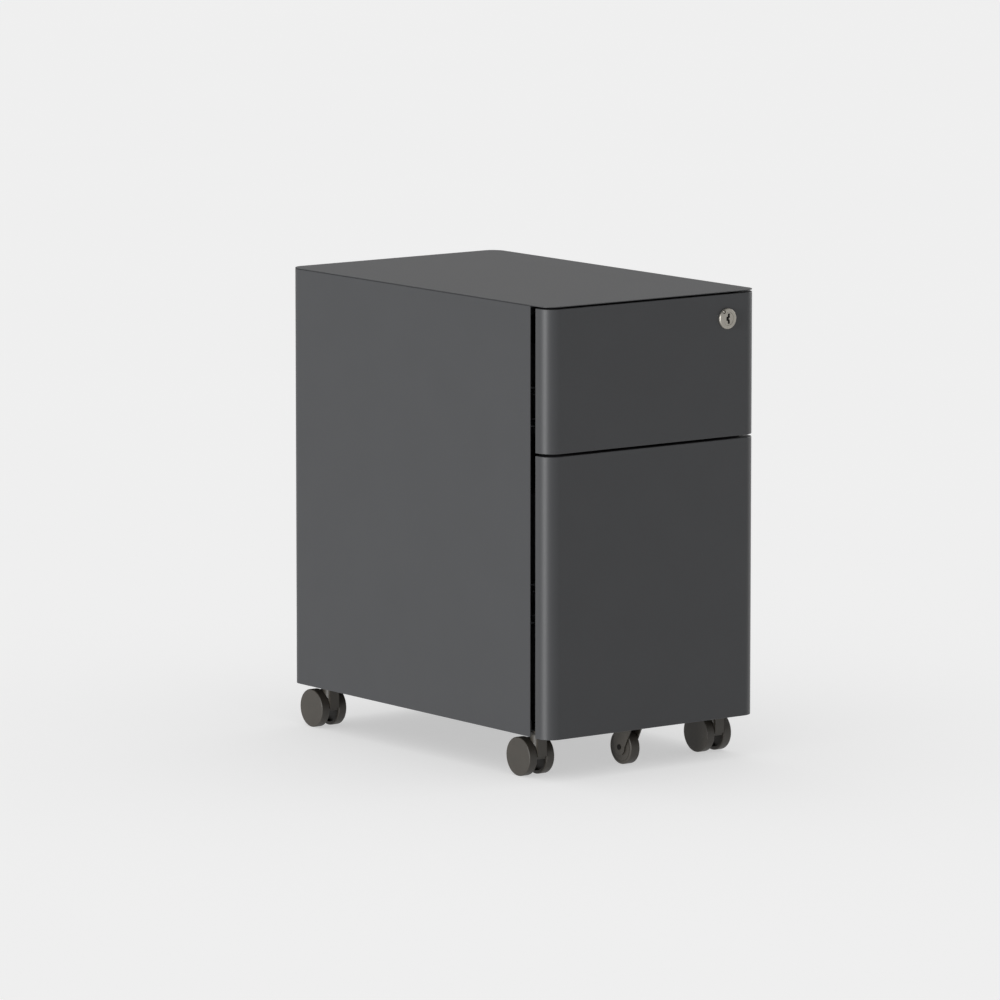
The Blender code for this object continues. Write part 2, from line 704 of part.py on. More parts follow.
def drawer_caster(parent):
    """The single-wheel caster that carries the file drawer's front."""
    pivot = axis_point("drawer_caster", (0, DRAWER_CASTER_Y, 0))
    pivot.parent = parent
    leg, top, wall = 0.0085, 0.0462, 0.0017
    section = [(-leg, 0), (wall - leg, 0), (wall - leg, top - wall), (leg - wall, top - wall)]
    section += [(leg - wall, 0), (leg, 0), (leg, top), (-leg, top)]
    reach = 0.0140
    boss = 0.0093
    fork = solid_plate(
        "drawer_caster_fork", section, 0.0600, (0, 0, 0), FACING, moulded_grey, pivot
    )
    axle_y, axle_z = DRAWER_CASTER_TRAIL, DRAWER_WHEEL_RADIUS
    side = [(-reach, top + 0.002), (-reach, 0.0400)]
    side += arc(axle_y, axle_z, boss, 210, 360, 6)
    side += [(reach + 0.003, 0.0400), (reach + 0.003, top + 0.002)]
    side_view = solid_plate("fork_side", side, 0.0300, (0, DRAWER_CASTER_Y, 0), SIDEWAYS)
    combine(fork, side_view, "INTERSECT")
    stud_bore = rod("stud_bore", AXLE_RADIUS + TOUCH, 0.02, (0, DRAWER_CASTER_Y, top), (0, 0, 0))
    combine(fork, stud_bore, "DIFFERENCE")
    at_axle = (0, DRAWER_CASTER_Y + axle_y, axle_z)
    fork_bore = rod("fork_axle_bore", 0.0020 + TOUCH, 0.03, at_axle, TURN_X, steps=12)
    combine(fork, fork_bore, "DIFFERENCE")
    rivet_half = leg + 0.0008
    head, head_face = 0.0032, leg + TOUCH
    rivet = [
        (0, rivet_half),
        (head, rivet_half),
        (head, head_face),
        (0.0020, head_face),
        (0.0020, -head_face),
        (head, -head_face),
        (head, -rivet_half),
        (0, -rivet_half),
    ]
    local_axle = (0, axle_y, axle_z)
    turned("drawer_caster_axle", rivet, local_axle, TURN_X, zinc_steel, pivot, steps=12)
    half = DRAWER_WHEEL_WIDTH / 2
    bore = 0.0020 + TOUCH
    edge = 0.0015
    wheel = [
        (bore, half),
        (DRAWER_WHEEL_RADIUS - 0.0045, half),
        (DRAWER_WHEEL_RADIUS - 0.0040, half - 0.0010),
        (DRAWER_WHEEL_RADIUS - 0.0035, half),
        (DRAWER_WHEEL_RADIUS - edge, half),
        (DRAWER_WHEEL_RADIUS, half - edge),
        (DRAWER_WHEEL_RADIUS, edge - half),
        (DRAWER_WHEEL_RADIUS - edge, -half),
        (bore, -half),
    ]
    turned("drawer_caster_wheel", wheel, local_axle, TURN_X, moulded_grey, pivot)


# ---------------------------------------------------------------- the whole cabinet
clear_scene()
parts = new_collection("rolling_pedestal_cabinet")
cutters = new_collection("cutters")

powder_coat = finish("powder_coated_steel", (0.075, 0.077, 0.080), 0.55, 0.0)
galvanised = finish("dark_coated_steel", (0.050, 0.050, 0.052), 0.60, 0.0)
zinc_steel = finish("zinc_plated_steel", (0.55, 0.55, 0.54), 0.35, 1.0)
nickel = finish("satin_nickel", (0.58, 0.55, 0.51), 0.30, 1.0)
moulded_grey = finish("moulded_nylon", (0.115, 0.103, 0.088), 0.55, 0.0)

box_drawer = axis_point("box_drawer", (0, 0, 0))
file_drawer = axis_point("file_drawer", (0, 0, 0))
locking = axis_point("central_locking", (0, 0, 0))

case_wrap()
top_panel()
base_pan()
posts()
top_front_rail()
slide_set("box", BOX_SLIDE_Z, box_drawer)
slide_set("file", FILE_SLIDE_Z, file_drawer)

box_front = drawer_front("box_drawer_front", BOX_FRONT_BOTTOM, BOX_FRONT_TOP, box_drawer)
lock_hole(box_front)
drawer_body("box_drawer_body", BOX_FLOOR, BOX_RIM, box_drawer)
strike("box_drawer_strike", BOX_STRIKE_Z, box_drawer)
lock_housing(box_drawer)
lock_nut(box_drawer)
lock_plug(box_drawer)
lock_cam(box_drawer)

drawer_front("file_drawer_front", FRONT_BOTTOM, FILE_FRONT_TOP, file_drawer)
drawer_body("file_drawer_body", FILE_FLOOR, FILE_RIM, file_drawer)
strike("file_drawer_strike", FILE_STRIKE_Z, file_drawer)
hanging_rails(file_drawer)
drawer_caster_bracket(file_drawer)
drawer_caster(file_drawer)

lock_bar(locking)
lock_bar_arm(locking)
lock_catch("lock_catch_box", BOX_STRIKE_Z, locking)
lock_catch("lock_catch_file", FILE_STRIKE_Z, locking)

main_casters()
print("lock bar lift over a quarter turn of the key:", round(CATCH_LIFT, 5))
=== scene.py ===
# %% [markdown]
# # A rolling pedestal cabinet
# The cabinet is folded from thin steel sheet and powder coated: a case of one bent sheet, two tray-shaped
# drawer fronts, a small nickel lock and five nylon casters. The measured model is loaded first, and
# every new piece takes its place from it. It could be made again from nothing, but then the pieces
# would no longer meet at the joints, so the new pieces only stand in for those that are seen closely.

# %% Load the measured model
import json
from math import cos, pi, radians, sin

import bmesh
import bpy
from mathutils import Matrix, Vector


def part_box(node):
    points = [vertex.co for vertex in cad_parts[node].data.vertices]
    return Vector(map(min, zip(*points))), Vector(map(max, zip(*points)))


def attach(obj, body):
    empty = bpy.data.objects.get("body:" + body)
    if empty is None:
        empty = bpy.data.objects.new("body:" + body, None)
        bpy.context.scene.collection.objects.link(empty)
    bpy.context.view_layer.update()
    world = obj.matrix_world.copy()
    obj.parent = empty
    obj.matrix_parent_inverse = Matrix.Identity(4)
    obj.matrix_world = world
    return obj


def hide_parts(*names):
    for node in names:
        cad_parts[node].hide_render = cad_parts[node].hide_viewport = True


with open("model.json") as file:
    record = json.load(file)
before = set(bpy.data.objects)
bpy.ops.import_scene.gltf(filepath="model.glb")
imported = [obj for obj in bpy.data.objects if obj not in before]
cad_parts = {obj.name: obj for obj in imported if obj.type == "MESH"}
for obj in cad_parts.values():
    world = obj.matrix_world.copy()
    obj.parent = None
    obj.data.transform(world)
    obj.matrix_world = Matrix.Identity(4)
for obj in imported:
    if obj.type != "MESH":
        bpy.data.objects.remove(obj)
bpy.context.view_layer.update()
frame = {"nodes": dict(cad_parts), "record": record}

# %% [markdown]
# ## Hands for the work
# On a screen, modelling is: add a primitive, go into edit mode, select something, use an operator, and
# go back. The same steps are written here. Selecting by hand becomes a question that is asked of every
# face, edge or corner, about where it is and which way it points.

# %% Add a primitive with its place in its mesh
NEAR = 0.00002  # two places closer than this are the same place


def take(name):
    """Names the new primitive and moves its place and size into its mesh."""
    bpy.ops.object.transform_apply(location=True, rotation=True, scale=True)
    made = bpy.context.active_object
    made.name = name
    made.data.name = name
    return made


def block(name, low, high):
    bpy.ops.object.select_all(action="DESELECT")
    low, high = Vector(low), Vector(high)
    bpy.ops.mesh.primitive_cube_add(size=1, location=(low + high) / 2, scale=high - low)
    return take(name)


TURNS = {"X": (0, pi / 2, 0), "Y": (pi / 2, 0, 0), "Z": (0, 0, 0)}


def rod(name, radius, length, middle, axis, corners=64):
    bpy.ops.object.select_all(action="DESELECT")
    bpy.ops.mesh.primitive_cylinder_add(
        vertices=corners, radius=radius, depth=length, location=middle, rotation=TURNS[axis]
    )
    return take(name)


# %% Select in edit mode by place and direction
def middle_of(item):
    if isinstance(item, bmesh.types.BMVert):
        return item.co
    return sum((v.co for v in item.verts), Vector()) / len(item.verts)


def pick(kind, test):
    """Selects the corners, edges or faces that pass a test, and nothing else."""
    bpy.ops.mesh.select_mode(type=kind)
    bpy.ops.mesh.select_all(action="DESELECT")
    mesh = bmesh.from_edit_mesh(bpy.context.edit_object.data)
    found = 0
    for item in {"VERT": mesh.verts, "EDGE": mesh.edges, "FACE": mesh.faces}[kind]:
        if test(item):
            item.select_set(True)
            found += 1
    mesh.select_flush_mode()
    bmesh.update_edit_mesh(bpy.context.edit_object.data)
    return found


def near(a, b):
    return abs(a - b) < NEAR


def upright(edge):
    a, b = (v.co for v in edge.verts)
    return near(a.x, b.x) and near(a.y, b.y)


def faces_along(axis, sign, at=None):
    """A test for faces that point along an axis, and lie at a place on it if one is given."""
    return lambda face: face.normal[axis] * sign > 0.99 and (
        at is None or near(middle_of(face)[axis], at)
    )


def edit(obj):
    bpy.ops.object.select_all(action="DESELECT")
    obj.select_set(True)
    bpy.context.view_layer.objects.active = obj
    bpy.ops.object.mode_set(mode="EDIT")


def done():
    bpy.ops.object.mode_set(mode="OBJECT")


# %% Modifiers that are applied at once
def modify(obj, kind, **settings):
    bpy.ops.object.select_all(action="DESELECT")
    obj.select_set(True)
    bpy.context.view_layer.objects.active = obj
    modifier = obj.modifiers.new(kind.lower(), kind)
    for name, value in settings.items():
        setattr(modifier, name, value)
    bpy.ops.object.modifier_apply(modifier=modifier.name)


def carve(obj, *tools, operation="DIFFERENCE"):
    """Cuts tools out of a piece, or joins them to it, and puts the tools away."""
    for tool in tools:
        modify(obj, "BOOLEAN", object=tool, operation=operation, solver="EXACT")
        bpy.data.objects.remove(tool, do_unlink=True)


def dress(obj, finish, body, slot, *nodes, smooth=30):
    """Smooths a finished piece, gives it its finish, hides the measured pieces it stands in for, and hangs
    it on the body it rides on.
    """
    bpy.ops.object.select_all(action="DESELECT")
    obj.select_set(True)
    bpy.context.view_layer.objects.active = obj
    bpy.ops.object.shade_smooth_by_angle(angle=radians(smooth))
    modify(obj, "WEIGHTED_NORMAL", keep_sharp=True)
    obj.data.materials.clear()
    obj.data.materials.append(finish)
    if nodes:
        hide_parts(*nodes)
    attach(obj, body)
    size = obj.dimensions * 1000
    print(f"{obj.name}: {size.x:.1f} x {size.y:.1f} x {size.z:.1f} mm, {len(obj.data.polygons)} faces")


# %% [markdown]
# ## Finishes
# Each finish starts from what the real one is and how it was made, because that sets its gloss and
# grain. Colours are picked as a screen shows them, in sRGB, and turned to the linear values that light
# is worked out in. Patterns run on object coordinates, which are metres here, so a pattern's scale is
# one over its real size.

# %% Colours and nodes
def linear(hex_colour):
    parts = [int(hex_colour[i : i + 2], 16) / 255 for i in (1, 3, 5)]
    return tuple(c / 12.92 if c <= 0.04045 else ((c + 0.055) / 1.055) ** 2.4 for c in parts)


def node(tree, kind, inputs=None, **settings):
    """Adds a node with its settings, and fills its inputs with values or with other nodes' outputs."""
    made = tree.nodes.new(kind)
    for name, value in settings.items():
        setattr(made, name, value)
    for name, value in (inputs or {}).items():
        if isinstance(value, bpy.types.NodeSocket):
            tree.links.new(value, made.inputs[name])
        else:
            made.inputs[name].default_value = value
    return made


MM = 0.001


def surface(
    name,
    dark,
    light,
    mottle,
    grain,
    depth,
    roughness,
    metallic=0.0,
    stretch=(1, 1, 1),
    **shader_values,
):
    """A procedural finish: two close colours in patches, a fine grain, and gloss that varies.

    mottle and grain are the sizes of a patch and of a grain in metres, depth is the grain's height,
    roughness is a range, and stretch draws the grain out along an axis, as brushing does."""
    mat = bpy.data.materials.new(name)
    mat.use_nodes = True
    tree = mat.node_tree
    shader = tree.nodes["Principled BSDF"]
    place = node(tree, "ShaderNodeTexCoord").outputs["Object"]
    patches = node(
        tree, "ShaderNodeTexNoise", {"Vector": place, "Scale": 1 / mottle, "Detail": 3.0}
    ).outputs["Fac"]
    drawn = node(tree, "ShaderNodeMapping", {"Vector": place, "Scale": stretch}).outputs["Vector"]
    grains = node(
        tree, "ShaderNodeTexNoise", {"Vector": drawn, "Scale": 1 / grain, "Detail": 2.0}
    ).outputs["Fac"]
    colour = node(
        tree,
        "ShaderNodeMix",
        {6: (*linear(dark), 1), 7: (*linear(light), 1), "Factor": patches},
        data_type="RGBA",
    ).outputs[2]
    gloss = node(
        tree,
        "ShaderNodeMapRange",
        {"Value": grains, "From Min": 0.3, "From Max": 0.7, "To Min": roughness[0], "To Max": roughness[1]},
    ).outputs["Result"]
    bump = node(
        tree, "ShaderNodeBump", {"Height": grains, "Strength": 1.0, "Distance": depth}
    ).outputs["Normal"]
    tree.links.new(colour, shader.inputs["Base Color"])
    tree.links.new(gloss, shader.inputs["Roughness"])
    tree.links.new(bump, shader.inputs["Normal"])
    shader.inputs["Metallic"].default_value = metallic
    for socket, value in shader_values.items():
        shader.inputs[socket.replace("_", " ")].default_value = value
    print("finish:", name)
    return mat


# %% [markdown]
# ### The finishes of this cabinet
# - Powder coat is paint baked from a powder. It melts into a skin with a faint orange peel of about a
#   millimetre, and the one here is graphite and half matt.
# - The slides and the locking bar are bright zinc on cold-rolled steel, with rolling marks along them.
# - The lock is a zinc casting, plated with nickel and brushed to a satin.
# - The casters are moulded nylon, filled with glass, which leaves it matt and faintly cloudy.

# %% Make the finishes
GRAPHITE_DARK, GRAPHITE_LIGHT = "#313234", "#353638"
powder_coat = surface(
    "graphite_powder_coat",
    GRAPHITE_DARK,
    GRAPHITE_LIGHT,
    mottle=60 * MM,
    grain=1.4 * MM,
    depth=0.006 * MM,
    roughness=(0.46, 0.52),
)
inner_coat = surface(
    "dark_dip_primer",
    "#1D1E1F",
    "#222324",
    mottle=40 * MM,
    grain=0.8 * MM,
    depth=0.005 * MM,
    roughness=(0.55, 0.65),
)
zinc = surface(
    "bright_zinc_plate",
    "#9C9FA3",
    "#B4B6B8",
    mottle=25 * MM,
    grain=0.5 * MM,
    depth=0.004 * MM,
    roughness=(0.30, 0.42),
    metallic=1.0,
    stretch=(1, 0.05, 1),
)
nickel = surface(
    "satin_nickel_plate",
    "#A8A49C",
    "#B4B0A7",
    mottle=8 * MM,
    grain=0.3 * MM,
    depth=0.006 * MM,
    roughness=(0.46, 0.56),
    metallic=1.0,
)
wheel_nylon = surface(
    "moulded_wheel_nylon",
    "#302D28",
    "#38342E",
    mottle=12 * MM,
    grain=0.6 * MM,
    depth=0.010 * MM,
    roughness=(0.42, 0.52),
)
hood_nylon = surface(
    "moulded_hood_nylon",
    "#34312B",
    "#3C3832",
    mottle=12 * MM,
    grain=0.5 * MM,
    depth=0.008 * MM,
    roughness=(0.38, 0.48),
)
# Near black and low in gloss: the real black oxide of the caster's rivet, and painted shade on the wafers
# that fill the lock's slot.
oxide_and_slot_shade = surface(
    "black_oxide_and_painted_slot_shade",
    "#100F0E",
    "#171615",
    mottle=6 * MM,
    grain=0.4 * MM,
    depth=0.004 * MM,
    roughness=(0.6, 0.75),
    Specular_IOR_Level=0.15,
)
FINISHES = {
    "powder_coat": powder_coat,
    "inner_coat": inner_coat,
    "zinc_steel": zinc,
    "lock_nickel": nickel,
    "caster_wheel": wheel_nylon,
    "caster_body": hood_nylon,
}

# %% [markdown]
# ### The pieces that stay as measured
# Slides, posts, axles and the locking bar are plain bent or drawn steel, and their measured shape is
# already right. They only need the finish of their material slot.

# %% Give the measured pieces their finishes
for entry in frame["record"]["subparts"]:
    measured = frame["nodes"][entry["node"]]
    measured.data.materials.clear()
    measured.data.materials.append(FINISHES[entry["material_slot"]])
rivet = frame["nodes"]["drawer_caster_axle"]
rivet.data.materials.clear()
rivet.data.materials.append(oxide_and_slot_shade)

# %% [markdown]
# ## The case
# The left side, the back and the right side are one sheet of 1.2 mm steel, bent round two corners of
# 17 mm radius. A real one is folded flat, so it is modelled the same way: a surface first, and its
# thickness last. Its front edges stay plain, and an open channel is left between them and the drawer
# fronts. Nothing lies close behind the channel, so it reads as a black line.

# %% Sizes that the sheet pieces share
SHEET = 1.2 * MM
CORNER = 17 * MM
CORNER_FACETS = 16
FLANGE = 12 * MM
BEND = 0.6 * MM
BEND_FACETS = 3
print(f"sheet {SHEET / MM:.1f} mm, corner radius {CORNER / MM:.0f} mm")

# %% Bend the case
low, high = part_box("case_wrap")
case = block("case_shell", low, high)
edit(case)
pick("EDGE", lambda e: upright(e) and near(middle_of(e).y, high.y))
bpy.ops.mesh.bevel(offset=CORNER, segments=CORNER_FACETS)
pick("FACE", lambda f: f.normal.z < -0.99 or f.normal.y < -0.99)
bpy.ops.mesh.delete(type="FACE")
pick("FACE", faces_along(2, 1))
bpy.ops.mesh.inset(thickness=FLANGE, use_boundary=False)
bpy.ops.mesh.delete(type="FACE")
done()
modify(case, "SOLIDIFY", thickness=SHEET, offset=-1, use_even_offset=True)

# %% Round its front edges and its top rim
FRONT_EDGE = 0.5 * MM
TOP_EDGE = 0.4 * MM
edit(case)
ends = pick(
    "EDGE",
    lambda e: upright(e) and near(abs(middle_of(e).x), high.x) and near(middle_of(e).y, low.y),
)
bpy.ops.mesh.bevel(offset=FRONT_EDGE, segments=BEND_FACETS)
rims = pick(
    "EDGE",
    lambda e: len(e.link_faces) == 2
    and near(middle_of(e).z, high.z)
    and max(f.normal.z for f in e.link_faces) > 0.9
    and any(abs(f.normal.z) < 0.1 and f.normal.xy.dot(middle_of(e).xy) > 0 for f in e.link_faces)
    and (near(abs(middle_of(e).x), high.x) or middle_of(e).y > high.y - CORNER),
)
bpy.ops.mesh.bevel(offset=TOP_EDGE, segments=2)
done()
print("front edges rounded:", ends, "and rim edges:", rims)
dress(case, powder_coat, "case", "powder_coat", "case_wrap")

# %% [markdown]
# ## The top
# A flat panel with the same rounded corners closes the case. Its edge catches a thin line of light, so
# the rims are rounded over a little instead of being left sharp.

# %% Cut the top panel
RIM = 0.2 * MM
low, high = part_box("top_panel")
panel = block("top_sheet", low, high)
edit(panel)
pick("EDGE", upright)
bpy.ops.mesh.bevel(offset=CORNER, segments=CORNER_FACETS)
pick("EDGE", lambda e: not upright(e))
bpy.ops.mesh.bevel(offset=RIM, segments=2)
done()
dress(panel, powder_coat, "case", "powder_coat", "top_panel")

# %% [markdown]
# ## The drawer fronts
# Each front is a shallow tray: a face, two rounded uprights, and short returns and flanges that are
# folded back. Its long edges are tight bends, and they are what draws the two fine bright lines along
# the gap between the drawers.


# %% Fold a drawer front
def fold_front(name, node_name):
    low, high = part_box(node_name)
    front = block(name, low, high)
    edit(front)
    pick("EDGE", lambda e: upright(e) and near(middle_of(e).y, low.y))
    bpy.ops.mesh.bevel(offset=CORNER, segments=CORNER_FACETS)
    pick("FACE", faces_along(1, 1))
    bpy.ops.mesh.delete(type="FACE")
    done()
    modify(front, "SOLIDIFY", thickness=SHEET, offset=-1, use_even_offset=True)
    edit(front)
    bends = pick(
        "EDGE",
        lambda e: (near(middle_of(e).z, low.z) or near(middle_of(e).z, high.z))
        and max(abs(f.normal.z) for f in e.link_faces) > 0.9
        and any(abs(f.normal.z) < 0.1 and f.normal.y < 0.5 for f in e.link_faces),
    )
    bpy.ops.mesh.bevel(offset=BEND, segments=BEND_FACETS)
    done()
    print(f"{name}: {bends} edges rounded")
    return front


box_front = fold_front("box_front", "box_drawer_front")
file_front = fold_front("file_front", "file_drawer_front")

# %% Bore the lock's hole and finish both fronts
lock_low, lock_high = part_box("lock_housing")
lock_middle = (lock_low + lock_high) / 2
FACE_RADIUS = (lock_high.x - lock_low.x) / 2
BARREL_RADIUS = 9 * MM
HOLE_RADIUS = BARREL_RADIUS + 0.3 * MM
face_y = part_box("box_drawer_front")[0].y
hole_at = (lock_middle.x, face_y, lock_middle.z)
carve(box_front, rod("lock_hole", HOLE_RADIUS, 8 * MM, hole_at, "Y"))
dress(box_front, powder_coat, "box_drawer", "powder_coat", "box_drawer_front")
dress(file_front, powder_coat, "file_drawer", "powder_coat", "file_drawer_front")

# %% [markdown]
# ## The lock
# A cam lock has a round casting, screwed through the front, and a plug that turns in it. The casting is
# modelled from one cylinder: its back is narrowed into the barrel, and its ends are opened and joined
# by a bridge, which is the bore. A shallow seat beside the bore holds a small domed pin.

# %% Model the lock's casting
PLUG_RADIUS = 7.5 * MM
FACE_EDGE = 1.4 * MM
bore = PLUG_RADIUS + 0.12 * MM
front_y = lock_low.y
seat_y = face_y - 0.3 * MM
barrel_end = lock_high.y
casting = rod(
    "lock_casting",
    FACE_RADIUS,
    seat_y - front_y,
    (lock_middle.x, (seat_y + front_y) / 2, lock_middle.z),
    "Y",
    corners=96,
)
edit(casting)
pick("FACE", faces_along(1, 1))
bpy.ops.mesh.inset(thickness=FACE_RADIUS - BARREL_RADIUS)
bpy.ops.mesh.extrude_region_move(TRANSFORM_OT_translate={"value": (0, barrel_end - seat_y, 0)})
bpy.ops.mesh.inset(thickness=BARREL_RADIUS - bore)
bpy.ops.mesh.delete(type="FACE")
pick("FACE", faces_along(1, -1))
bpy.ops.mesh.inset(thickness=FACE_RADIUS - bore)
bpy.ops.mesh.delete(type="FACE")
pick("EDGE", lambda e: e.is_boundary)
bpy.ops.mesh.bridge_edge_loops()
pick(
    "EDGE",
    lambda e: near(middle_of(e).y, front_y)
    and len(e.link_faces) == 2
    and abs(e.link_faces[0].normal.y - e.link_faces[1].normal.y) > 0.9
    and (middle_of(e) - lock_middle).xz.length > bore + MM,
)
bpy.ops.mesh.bevel(offset=FACE_EDGE, segments=5)
done()

# %% Sink the seat of the domed pin into its face
PIN_ANGLE = radians(126.5)
PIN_OUT = 10.1 * MM
SEAT_RADIUS = 2.2 * MM
SEAT_DEPTH = 2.2 * MM
pin_x = lock_middle.x + PIN_OUT * cos(PIN_ANGLE)
pin_z = lock_middle.z + PIN_OUT * sin(PIN_ANGLE)
pin_seat = rod("pin_seat", SEAT_RADIUS, 2 * SEAT_DEPTH, (pin_x, front_y, pin_z), "Y", corners=32)
carve(casting, pin_seat)
dress(casting, nickel, "box_drawer", "lock_nickel", "lock_housing")

# %% Set the domed pin
PIN_RADIUS = 1.6 * MM
PIN_SUNK = 1.5 * MM
bpy.ops.object.select_all(action="DESELECT")
bpy.ops.mesh.primitive_uv_sphere_add(
    segments=32, ring_count=16, radius=PIN_RADIUS, location=(pin_x, front_y + PIN_SUNK, pin_z)
)
pin = take("lock_pin")
edit(pin)
bpy.ops.mesh.select_all(action="SELECT")
bpy.ops.mesh.bisect(
    plane_co=(0, front_y + SEAT_DEPTH - 0.1 * MM, 0),
    plane_no=(0, 1, 0),
    clear_outer=True,
    use_fill=True,
)
done()
dress(pin, nickel, "box_drawer", "lock_nickel")

# %% Turn the plug
low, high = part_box("lock_plug")
plug = rod("key_plug", PLUG_RADIUS, high.y - low.y, (low + high) / 2, "Y", corners=72)
edit(plug)
pick("EDGE", lambda e: near(middle_of(e).y, low.y))
bpy.ops.mesh.bevel(offset=0.2 * MM, segments=2)
done()

# %% Cut its keyway
KEYWAY = (  # across and up from the plug's middle, in mm: left, bottom, right, top
    (-0.9, 1.0, 2.2, 5.9),
    (-2.8, -2.5, 0.8, 2.5),
    (-0.9, -5.9, 2.2, -1.0),
)
KEYWAY_DEPTH = 9 * MM
WAFERS_BEHIND = 0.8 * MM


def keyway_block(name, sides, front, back, gap=0.0):
    left, bottom, right, top = (side * MM for side in sides)
    at_x, at_z = lock_middle.x, lock_middle.z
    return block(
        name,
        (at_x + left + gap, front, at_z + bottom + gap),
        (at_x + right - gap, back, at_z + top - gap),
    )


for step, sides in enumerate(KEYWAY):
    carve(plug, keyway_block(f"keyway_{step}", sides, low.y - MM, low.y + KEYWAY_DEPTH))
dress(plug, nickel, "lock_plug", "lock_nickel", "lock_plug")

# %% Fill the slot with wafers just behind the plug's face, near black to paint the shade inside the slot
slot_shade_wafers = keyway_block("lock_wafers_painting_slot_shade", KEYWAY[0], low.y + WAFERS_BEHIND, low.y + KEYWAY_DEPTH, 0.02 * MM)
for sides in KEYWAY[1:]:
    joined = keyway_block("wafer", sides, low.y + WAFERS_BEHIND, low.y + KEYWAY_DEPTH, 0.02 * MM)
    carve(slot_shade_wafers, joined, operation="UNION")
dress(slot_shade_wafers, oxide_and_slot_shade, "lock_plug", "lock_nickel")

# %% [markdown]
# ## The four twin-wheel casters
# Two plain wheels turn on one axle, with a hood between them that swivels on a pin. The hood is hard to
# draw in one go. It is built as it would be machined: a round neck, a disc and a block are joined,
# then the wheels' room is scooped out of both sides, which leaves the neck's curved shoulders. One
# wheel and one hood are modelled, and the others are copies.

# %% Model one wheel
WHEEL_RIM = 4 * MM
HUB_RADIUS = 6.2 * MM
AXLE_HOLE = 3.3 * MM
HOLLOW_DEPTH = 5 * MM
WHEEL_EDGE = 1.2 * MM
low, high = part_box("front_left_caster_wheel_left")
wheel_middle = (low + high) / 2
WHEEL_RADIUS = (high.z - low.z) / 2
WHEEL_WIDTH = high.x - low.x
wheel = rod("wheel", WHEEL_RADIUS, WHEEL_WIDTH, wheel_middle, "X", corners=96)
edit(wheel)
pick("FACE", faces_along(0, 1))
bpy.ops.mesh.inset(thickness=WHEEL_RIM)
bpy.ops.mesh.inset(thickness=WHEEL_RADIUS - WHEEL_RIM - HUB_RADIUS)
hollow = pick(
    "FACE",
    lambda f: f.normal.x > 0.99
    and HUB_RADIUS < (middle_of(f) - wheel_middle).yz.length < WHEEL_RADIUS - WHEEL_RIM,
)
bpy.ops.mesh.extrude_region_move(TRANSFORM_OT_translate={"value": (-HOLLOW_DEPTH, 0, 0)})
pick("FACE", lambda f: f.normal.x > 0.99 and (middle_of(f) - wheel_middle).yz.length < MM)
bpy.ops.mesh.inset(thickness=HUB_RADIUS - AXLE_HOLE)
bpy.ops.mesh.extrude_region_move(TRANSFORM_OT_translate={"value": (-8.5 * MM, 0, 0)})
pick(
    "EDGE",
    lambda e: min((v.co - wheel_middle).yz.length for v in e.verts) > WHEEL_RADIUS - NEAR
    and near(e.verts[0].co.x, e.verts[1].co.x),
)
bpy.ops.mesh.bevel(offset=WHEEL_EDGE, segments=4)
done()
print("faces in the wheel's hollow:", hollow)

# %% Model one hood's blank
low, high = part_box("front_left_caster_hood")
axle_low, axle_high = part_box("front_left_caster_axle")
axle = (axle_low + axle_high) / 2
plate_low, plate_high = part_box("front_left_caster_plate")
pivot = (plate_low + plate_high) / 2
NECK_RADIUS = 8.75 * MM
HOOD_HALF = 6.4 * MM
DISC_RADIUS = 20.5 * MM
NOSE_TOP = 44 * MM
NECK_FOOT = 30 * MM
neck_top = high.z
hood = rod("hood", DISC_RADIUS, 2 * HOOD_HALF, axle, "X", corners=96)
edit(hood)
bpy.ops.mesh.select_all(action="SELECT")
bpy.ops.mesh.bisect(
    plane_co=axle + Vector((0, 0, -2 * MM)), plane_no=(0, 0, -1), clear_outer=True, use_fill=True
)
bpy.ops.mesh.select_all(action="SELECT")
bpy.ops.mesh.bisect(
    plane_co=(0, pivot.y - NECK_RADIUS + MM, 0), plane_no=(0, -1, 0), clear_outer=True, use_fill=True
)
done()
boss = rod("boss", HUB_RADIUS, 2 * HOOD_HALF - 0.02 * MM, axle, "X", corners=48)
nose = block(
    "nose",
    (pivot.x - HOOD_HALF + 0.01 * MM, pivot.y - NECK_RADIUS, axle.z + MM),
    (pivot.x + HOOD_HALF - 0.01 * MM, axle.y, NOSE_TOP),
)
neck_at = (pivot.x, pivot.y, (neck_top + NECK_FOOT) / 2)
neck = rod("neck", NECK_RADIUS, neck_top - NECK_FOOT, neck_at, "Z", corners=64)
carve(hood, boss, nose, neck, operation="UNION")

# %% Scoop the wheels' room and bore the hood
SCOOP = 20 * MM
scoops = []
for side in (-1, 1):
    at = (axle.x + side * (HOOD_HALF + 0.15 * MM + SCOOP / 2), axle.y, axle.z)
    scoops.append(rod("scoop", WHEEL_RADIUS + 0.8 * MM, SCOOP, at, "X", corners=96))
pin_room = rod("pin_room", 4.3 * MM, 26 * MM, (pivot.x, pivot.y, 41.5 * MM), "Z", corners=32)
axle_room = rod("axle_room", AXLE_HOLE, 30 * MM, axle, "X", corners=32)
carve(hood, *scoops, pin_room, axle_room)
modify(hood, "BEVEL", width=0.35 * MM, segments=2, limit_method="ANGLE", angle_limit=radians(40))

